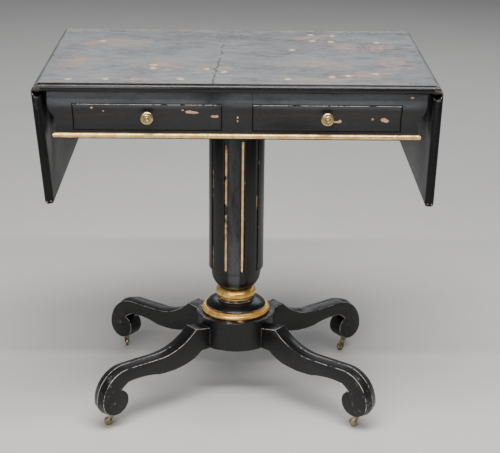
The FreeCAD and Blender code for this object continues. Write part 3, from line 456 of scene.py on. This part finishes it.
def top_lacquer():
    """The top: greyed and streaked along its length, with broad rubbed places, bare spots
    inside them, pale edges, a split, and dark specks."""
    shader = Shader("worn_top_lacquer")
    along = (0.45, 1.3, 1.0)
    streak = shader.noise(48, 6.0, 0.75, along)
    fine = shader.noise(190, 5.0, 0.72, along)
    cloud = shader.noise(8, 5.0, 0.65, (0.8, 1.2, 1))
    blot = shader.noise(42, 5.0, 0.72, (0.7, 1.1, 1), shift=(4, 2, 0))
    zones = rubbed_zones(shader)
    tone = (cloud * 0.35 + streak * 0.35 + fine * 0.3).step(0.40, 0.60)
    base = shader.mix(tone, TOP_BLACK, TOP_GREY)
    rubbed = (zones * 0.55 + (blot - 0.5) * 2.0 + (fine - 0.5) * 1.8).step(0.30, 0.62)
    warm = shader.mix(cloud.step(0.42, 0.58), TOP_ROSE, TOP_OLIVE)
    base = shader.mix(rubbed * 0.8, base, warm)
    bare = (zones * 0.45 + (blot - 0.5) * 1.8 + (fine - 0.5) * 2.2).step(0.68, 0.90)
    base = shader.mix(bare * 0.85, base, TOP_BARE)
    reach = (6.5 * MM, 8.5 * MM, None)
    spots = gather([spot(shader, (across * MM, back * MM, 0), reach, 3.0, 150)
                    for across, back in BARE_SPOTS])
    base = shader.mix(spots * 0.75, base, TOP_SPOT)
    specks = shader.cells(150, (0.6, 1, 1)).step(0.16, 0.08) * blot.step(0.46, 0.56)
    base = shader.mix(specks * 0.7, base, TOP_SPECK)
    split = crack(shader)
    # Painted shade: a black line along the groove at the front and back edges, where the nosings
    # meet the top.
    groove = shader.y.size().step(top_high.y - 1.6 * MM, top_high.y - 0.9 * MM)
    base = shader.mix(split.larger(groove * 0.9), base, TOP_SPLIT_AND_GROOVE_SHADE)
    rough = 0.27 + tone * 0.12 + rubbed * 0.14 + bare * 0.12 + spots * 0.15
    height = fine * 0.5 + streak * 0.6 - bare * 0.5 - spots * 0.7 - split * 3.0
    return shader.finish(base, rough, 0.0, shader.bump(height, 0.45, 0.9 * MM), specular=0.34)


def nosing_wear(shader):
    """Nosings rub along their crests, and under their ends above the leaves' corners."""
    streak = shader.noise(40, 5.0, 0.7, (0.25, 1, 1))
    crest = (shader.y.size() - top_high.y).step(0.0, 6 * MM)
    ends = shader.x.size().step(top_high.x - 21 * MM, top_high.x - 13 * MM)
    under = shader.z.step(top_high.z - 4 * MM, top_high.z - 9 * MM)
    return (crest * streak.step(0.50, 0.85) * 0.8).larger(
        ends * under * 0.66 * streak.step(0.2, 0.5))


def nosing_groove_shade(shader):
    """Painted shade: the groove between the top and its nosing is painted black."""
    inner = (shader.y.size() - top_high.y).step(1.6 * MM, 1.0 * MM)
    return inner * shader.z.step(top_high.z - 2 * MM, top_high.z - MM)


def leaf_wear(shader):
    """Leaves rub along their front and back edges, along their bottoms, and at the corners by
    their hinges."""
    streak = shader.noise(35, 5.0, 0.7, (1, 1, 0.3))
    out = shader.y.size() - leaf_high.y
    ends = out.step(-8 * MM, -0.5 * MM)
    foot = shader.z.step(leaf_low.z + 12 * MM, leaf_low.z)
    crown = out.step(-2.5 * MM, -0.5 * MM) * shader.z.step(top_high.z - 35 * MM,
                                                           top_high.z - 25 * MM)
    rubbed = (ends.larger(foot) * streak.step(0.3, 0.8) * 0.6).larger(crown * 0.7)
    return rubbed.larger(light_wear(shader) * 0.9)


def leaf_painted_light(shader):
    """Painted light: the flat faces are greyer low down, below a slanting edge that stands for
    the edge of the frieze's shadow above, and streaked.
    """
    ragged = (shader.noise(20, 4.0) - 0.5) * (50 * MM)
    slant = shader.z - (top_high.z - 133 * MM) + shader.y * 0.35 + ragged
    streak = shader.noise(50, 5.0, 0.7, (1, 0.3, 1.5)).step(0.30, 0.70)
    flat = (shader.y.size() - leaf_high.y).step(-3 * MM, -9 * MM)
    return slant.step(30 * MM, -50 * MM) * streak * flat * 0.4


def leg_wear(shader):
    """Scuffs along the legs, and more of them on the scrolls."""
    patches = shader.noise(34, 4.0, 0.65)
    out = (shader.x ** 2.0 + shader.y ** 2.0) ** 0.5
    small = shader.noise(95, 4.0, 0.7)
    scroll = out.step(285 * MM, 320 * MM) * small.step(0.50, 0.66) * 0.72
    return (patches.step(0.52, 0.8) * 0.5).larger(scroll)


def drum_wear(shader):
    """The drum rubs round its upper rim."""
    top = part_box("base_drum")[1].z
    rim = shader.z.step(top - 3 * MM, top) * shader.noise(40, 4.0, 0.6).step(0.42, 0.65)
    return (rim * 0.9).larger(light_wear(shader) * 0.6)


def frieze_wear(shader):
    """The moulded face rubs low down, at the foot of the drawers."""
    low = shader.z.step(opening_low.z + 12.6 * MM, opening_low.z + 0.6 * MM)
    streak = shader.noise(60, 4.0, 0.6, (0.4, 1, 1)).step(0.5, 0.8)
    return (low * streak * 0.6).larger(light_wear(shader) * 0.8)


def frieze_painted_sheen(shader):
    """Painted sheen: a grey on the upper half of the moulded face, where it catches the light,
    and a little all over.
    """
    cloud = shader.noise(12, 4.0, 0.6, (0.5, 1, 1.4)).step(0.25, 0.6)
    high = shader.z.step(opening_high.z - 11.7 * MM, opening_high.z + 2.3 * MM)
    return (high * 0.75 + 0.12) * cloud


def round_drawers(shader):
    """How far a point is outside the nearer drawer front."""
    middle, half = (front_low + front_high) / 2, (front_high - front_low) / 2
    across = (shader.x.size() - middle.x).size() - half.x
    return across.larger((shader.z - middle.z).size() - half.z)


def frieze_gap_shade_and_joint(shader):
    """Painted shade round the drawers, where the gaps are shaded, and a dark line down the joint
    of the stile between them. The back and the ends of the frieze have none."""
    joint = (shader.x - (front_low.x - 2 * MM)).size().step(0.8 * MM, 0.3 * MM) * 0.9
    gap_shade = round_drawers(shader).step(2.6 * MM, 1.2 * MM)
    return gap_shade.larger(joint) * shader.y.step(-180 * MM, -190 * MM)


def drawer_gap_shade(shader):
    """Painted shade on the drawer's own side of the same gap."""
    return round_drawers(shader).step(-2.2 * MM, -1.2 * MM) * 0.9


def upper_edge_highlight(shader):
    """Only the upper edge of a drawer front is rubbed pale: wear, and with it a painted highlight
    along the top edge where the light catches it.
    """
    return shader.z.step(front_high.z - 2.5 * MM, front_high.z - 1.5 * MM)


def column_painted_highlight(shader):
    """Painted highlight: the column is greyed down the flat face at its front, where it catches
    the light.
    """
    turn = (shader.x.turn_from(-shader.y) + 5.0).size()
    streak = shader.noise(30, 4.0, 0.7, (1, 1, 0.2)).step(0.3, 0.6)
    return turn.step(16.0, 9.0) * streak * 0.6


def fillets_left(shader):
    """Two of the gilt lines have lasted, right and left of the front. The others are down to
    traces."""
    turn = shader.x.turn_from(-shader.y)
    traces = shader.noise(26, 4.0, 0.7, (1, 1, 0.5)).step(0.54, 0.60) * 0.55
    right = (turn - 13.0).size().step(9.0, 6.0)
    left = (turn + 23.0).size().step(9.0, 6.0) * shader.noise(30, 3.0).step(0.36, 0.46) * 0.75
    return gather([right, left, traces])


# --- pieces ------------------------------------------------------------------------------

def dress(names, material):
    """A CAD node that keeps its shape gets a better finish."""
    for name in names:
        node = frame["nodes"][name]
        node.data.materials.clear()
        node.data.materials.append(material)


def body_of(node):
    """The body that a CAD node rides on."""
    for body, members in frame["record"]["behaviour"]["bodies"].items():
        if node in members:
            return body


def only(item):
    """Nothing else is selected, so an operator acts on this piece alone."""
    bpy.ops.object.select_all(action="DESELECT")
    item.select_set(True)
    bpy.context.view_layer.objects.active = item


def settle(item, name, node):
    """A finished piece: named, and standing for its CAD node on the node's body."""
    item.name = name
    item.data.name = name
    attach(item, body_of(node))
    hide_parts(node)


def draw_in(item, blank, reach):
    """Any corner that a rounded edge threw farther off the blank than its reach goes back to
    the nearest face."""
    for corner in item.data.vertices:
        found, face_point, _, _ = blank.closest_point_on_mesh(corner.co)
        if found and (face_point - corner.co).length > reach:
            corner.co = face_point


def eased(node, width, face, edge, segments=2, sharp=35, smooth=30):
    """A piece with the CAD node's shape whose edges, where they are sharper than so many
    degrees, are rounded over. The rounded edges take a finish of their own."""
    blank = frame["nodes"][node]
    item = blank.copy()
    item.data = blank.data.copy()
    bpy.context.scene.collection.objects.link(item)
    item.parent = None
    # The copy isn't a CAD node any more, so it drops the marks of one.
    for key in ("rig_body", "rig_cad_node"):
        if key in item:
            del item[key]
    only(item)
    item.data.materials.clear()
    item.data.materials.append(face)
    item.data.materials.append(edge)
    for polygon in item.data.polygons:
        polygon.material_index = 0
    bpy.ops.object.mode_set(mode="EDIT")
    bpy.ops.mesh.select_all(action="SELECT")
    bpy.ops.mesh.remove_doubles(threshold=0.02 * MM)
    bpy.ops.mesh.dissolve_limited(angle_limit=math.radians(0.6))
    bpy.ops.mesh.customdata_custom_splitnormals_clear()
    bpy.ops.mesh.select_all(action="DESELECT")
    bpy.ops.mesh.select_mode(type="EDGE")
    bpy.ops.mesh.edges_select_sharp(sharpness=math.radians(sharp))
    bpy.ops.transform.edge_bevelweight(value=1)
    bpy.ops.object.mode_set(mode="OBJECT")
    round_over = item.modifiers.new("round_over", "BEVEL")
    round_over.width = width
    round_over.segments = segments
    round_over.limit_method = "WEIGHT"
    round_over.material = 1
    round_over.use_clamp_overlap = False
    round_over.miter_outer = "MITER_ARC"
    bpy.ops.object.modifier_apply(modifier="round_over")
    draw_in(item, blank, 0.6 * width)
    bpy.ops.object.shade_smooth_by_angle(angle=math.radians(smooth))
    settle(item, node + "_finished", node)


def lathe(profile, steps=64):
    """A turning about Z from (radius, height) points that start and end on its axis. A single
    point is drawn along them, and the line it leaves is spun."""
    bpy.ops.object.select_all(action="DESELECT")
    bpy.ops.mesh.primitive_plane_add(size=MM)
    bpy.ops.object.mode_set(mode="EDIT")
    bpy.ops.mesh.select_mode(type="VERT")
    bpy.ops.mesh.select_all(action="SELECT")
    bpy.ops.mesh.merge(type="CENTER")
    at = Vector((0, 0, 0))
    for index, (radius, height) in enumerate(profile):
        to = Vector((radius, 0, height))
        if index:
            bpy.ops.mesh.extrude_vertices_move(TRANSFORM_OT_translate={"value": to - at})
        else:
            bpy.ops.transform.translate(value=to)
        at = to
    bpy.ops.mesh.select_all(action="SELECT")
    bpy.ops.mesh.spin(steps=steps, angle=2 * math.pi, center=(0, 0, 0), axis=(0, 0, 1))
    bpy.ops.mesh.select_all(action="SELECT")
    bpy.ops.mesh.remove_doubles(threshold=0.01 * MM)
    bpy.ops.mesh.normals_make_consistent(inside=False)
    bpy.ops.object.mode_set(mode="OBJECT")
    return bpy.context.object


# Half the outline of a knob, as shares of its radius: out from its axis and back from its face.
KNOB_BUTTON = [(0.0, 0.0), (0.10, 0.004), (0.19, 0.03), (0.24, 0.10), (0.27, 0.115)]
KNOB_RINGS = [(0.33, 0.06), (0.40, 0.045), (0.47, 0.07), (0.51, 0.13), (0.55, 0.135),
              (0.62, 0.10), (0.74, 0.105), (0.86, 0.15), (0.95, 0.24), (1.0, 0.36)]
KNOB_NECK = [(0.985, 0.47), (0.93, 0.56), (0.80, 0.68), (0.58, 0.80), (0.44, 0.92),
             (0.38, 1.08), (0.40, 1.22), (0.50, 1.32)]
KNOB_ROSE = [(0.66, 1.40), (0.70, 1.50), (0.70, 2.6), (0.0, 2.6)]


def knob(side, brass):
    """A brass knob: a face turned in rings, a neck, and a rose that is let into the drawer.
    It is turned standing up, and then laid to face forwards."""
    node = "drawer_%s_knob" % side
    low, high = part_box(node)
    radius = (high.x - low.x) / 2
    outline = KNOB_BUTTON + KNOB_RINGS + KNOB_NECK + KNOB_ROSE
    item = lathe([(radius * out, -radius * back) for out, back in outline])
    only(item)
    item.rotation_euler = (math.pi / 2, 0, 0)
    item.location = ((low.x + high.x) / 2, low.y, (low.z + high.z) / 2)
    bpy.ops.object.transform_apply(location=True, rotation=True, scale=True)
    item.data.materials.append(brass)
    bpy.ops.object.shade_smooth_by_angle(angle=math.radians(50))
    settle(item, "drawer_%s_turned_knob" % side, node)


# --- the table, from the top down ---------------------------------------------------------

SIDES = ("left", "right")
CORNERS = ("front_left", "front_right", "back_left", "back_right")
# The grain of a piece that runs along the table.
ALONG = (0.5, 1, 1)


def make_top():
    dress(["top_panel"], top_lacquer())
    # The nosing takes painted shade along the groove where it meets the top.
    polished = lacquer("nosing_lacquer", nosing_wear, grain=ALONG, dirt_and_painted_shade=nosing_groove_shade, rough=0.13)
    eased("top_nosings", 0.6 * MM, polished, worn_edge("nosing_edge", 0.35))


def make_leaves():
    # The leaves' inner faces take painted light below the edge of the frieze's shadow.
    black = lacquer("leaf_lacquer", leaf_wear, grain=(1, 0.6, 1), painted_light=leaf_painted_light, rough=0.36,
                    sheen=0.14)
    edge = worn_edge("rubbed_edge")
    for side in SIDES:
        eased("leaf_" + side, 1.2 * MM, black, edge)


def make_frieze():
    # The frieze takes a painted sheen on its upper half and painted shade round the drawers.
    black = lacquer("frieze_lacquer", frieze_wear, grain=ALONG, painted_light=frieze_painted_sheen,
                    dirt_and_painted_shade=frieze_gap_shade_and_joint)
    dress(["front_bottom_rail", "end_panel_left", "end_panel_right", "back_panel"], black)
    for name in ("front_stiles", "front_top_rail"):
        dress([name], lacquer(name + "_lacquer", frieze_wear, CHIPS[name], ALONG, frieze_painted_sheen,
                              frieze_gap_shade_and_joint))
    dress(["gilt_bead_sides", "gilt_bead_ends"], gilding("gilt_bead_leaf", 0.6, 0.35))
    dress(["bottom_board", "centre_partition", "drawer_runners", "top_cleat"],
          plain_timber("carcase_timber", CARCASE_WOOD))


def make_drawers():
    # The pale upper edges of the drawer fronts are wear and a painted highlight together.
    edge = worn_edge("drawer_edge_highlight", 0.75, (0.60, 0.56, 0.52), upper_edge_highlight)
    for side in SIDES:
        name = "drawer_%s_front" % side
        # The drawer fronts take the same painted sheen, and painted shade on their side of the
        # gaps.
        black = lacquer(name + "_lacquer", frieze_wear, CHIPS[name], ALONG, frieze_painted_sheen,
                        drawer_gap_shade)
        eased(name, 1.0 * MM, black, edge, segments=3)
    dress(["drawer_left_box", "drawer_right_box"],
          plain_timber("drawer_lining", LINING_WOOD, (8, 1, 8)))
    dress(["drawer_left_bottom", "drawer_right_bottom"],
          plain_timber("drawer_bottom_board", BOTTOM_WOOD))


def make_column():
    # The column takes a painted highlight down its front.
    upright = lacquer("column_lacquer", light_wear, grain=(1, 1, 0.4), painted_light=column_painted_highlight)
    eased("column_shaft", 1.0 * MM, upright, worn_edge("column_edge", 0.25))
    dress(["gilt_fillets"], gilding("gilt_fillet_leaf", 0.6, 0.5, fillets_left))
    turned = lacquer("disc_lacquer", light_wear, rough=0.2)
    eased("plinth_disc", 0.7 * MM, turned, worn_edge("disc_edge", 0.6))
    dress(["upper_gilt_ring", "lower_gilt_ring"], gilding("gilt_ring"))


def make_base():
    eased("base_drum", 0.7 * MM, lacquer("drum_lacquer", drum_wear), worn_edge("drum_edge", 0.45))
    black = lacquer("leg_lacquer", leg_wear)
    edge = worn_edge("leg_edge", 0.7)
    for corner in CORNERS:
        eased("leg_" + corner, 0.8 * MM, black, edge, sharp=21, smooth=24)


def make_metalwork():
    dress(["hinge_fixed_flaps", "hinge_pins", "hinge_flaps_left", "hinge_flaps_right"],
          aged_brass("hinge_brass", HINGE_BRASS, 0.8))
    caster_brass = aged_brass("caster_brass", CASTER_BRASS, 0.85)
    for kind in ("fork", "axle", "wheel"):
        dress(["caster_%s_%s" % (kind, corner) for corner in CORNERS], caster_brass)
    dress(["caster_plates"], caster_brass)
    dress(["hinge_screws_top", "hinge_screws_left", "hinge_screws_right", "frame_screws",
           "stay_left", "stay_right", "stay_brackets", "spider_plate"], blackened_iron())


def make_knobs():
    brass = ringed_brass()
    for side in SIDES:
        knob(side, brass)


# --- stage, light and camera --------------------------------------------------------------

def floor():
    """A pale painted floor, a little uneven in tone."""
    bpy.ops.object.select_all(action="DESELECT")
    bpy.ops.mesh.primitive_plane_add(size=24)
    plane = bpy.context.object
    plane.name = "studio_floor"
    shader = Shader("studio_floor_paint")
    tone = shader.mix(shader.noise(1.3, 3.0), (0.52, 0.505, 0.48), (0.58, 0.565, 0.54))
    plane.data.materials.append(shader.finish(tone, 0.75, specular=0.25))


def area_light(name, place, aim, width, depth, power, tint=(1, 1, 1)):
    """A soft light of so many metres and watts, turned from its place to what it lights."""
    light = bpy.data.lights.new(name, "AREA")
    light.shape = "RECTANGLE"
    light.size = width
    light.size_y = depth
    light.energy = power
    light.color = tint
    lamp = bpy.data.objects.new(name, light)
    bpy.context.scene.collection.objects.link(lamp)
    lamp.location = place
    lamp.rotation_euler = (Vector(aim) - Vector(place)).to_track_quat("-Z", "Y").to_euler()


def studio():
    """Cool air, soft lights above, in front and behind, and a strip along the front that draws
    a line of light on the nosing."""
    world = bpy.data.worlds.new("studio_air")
    bpy.context.scene.world = world
    world.use_nodes = True
    air = world.node_tree.nodes["Background"]
    air.inputs["Color"].default_value = (0.80, 0.84, 0.90, 1)
    air.inputs["Strength"].default_value = 0.24
    middle = (0, 0, 0.5)
    warm, cool = (1, 0.98, 0.95), (0.92, 0.96, 1)
    area_light("overhead_softbox", (0.2, -0.9, 3.2), middle, 2.4, 0.9, 105)
    area_light("front_softbox", (-1.3, -3.4, 2.0), middle, 1.6, 1.6, 50, warm)
    area_light("strip_light", (0.0, -1.5, 2.6), (0, -0.2, 0.6), 3.4, 0.10, 60)
    area_light("back_softbox", (0.6, 3.4, 2.6), (0, 0, 0.6), 4.0, 1.6, 46, cool)


def camera():
    """The eye stands in front of the table, a little above it, and looks slightly down."""
    lens = bpy.data.cameras.new("view")
    lens.sensor_width = 36.0
    lens.lens = 100.23
    eye = bpy.data.objects.new("view", lens)
    bpy.context.scene.collection.objects.link(eye)
    stand = (-0.0024, -2.7517, 1.3425)
    yaw, pitch, roll = -0.0113, 0.3407, 0.0108
    eye.matrix_world = (Matrix.Translation(stand)
                        @ Matrix.Rotation(yaw, 4, "Z")
                        @ Matrix.Rotation(math.pi / 2 - pitch, 4, "X")
                        @ Matrix.Rotation(roll, 4, "Z"))
    bpy.context.scene.camera = eye


make_top()
make_leaves()
make_frieze()
make_drawers()
make_column()
make_base()
make_metalwork()
make_knobs()
floor()
studio()
camera()
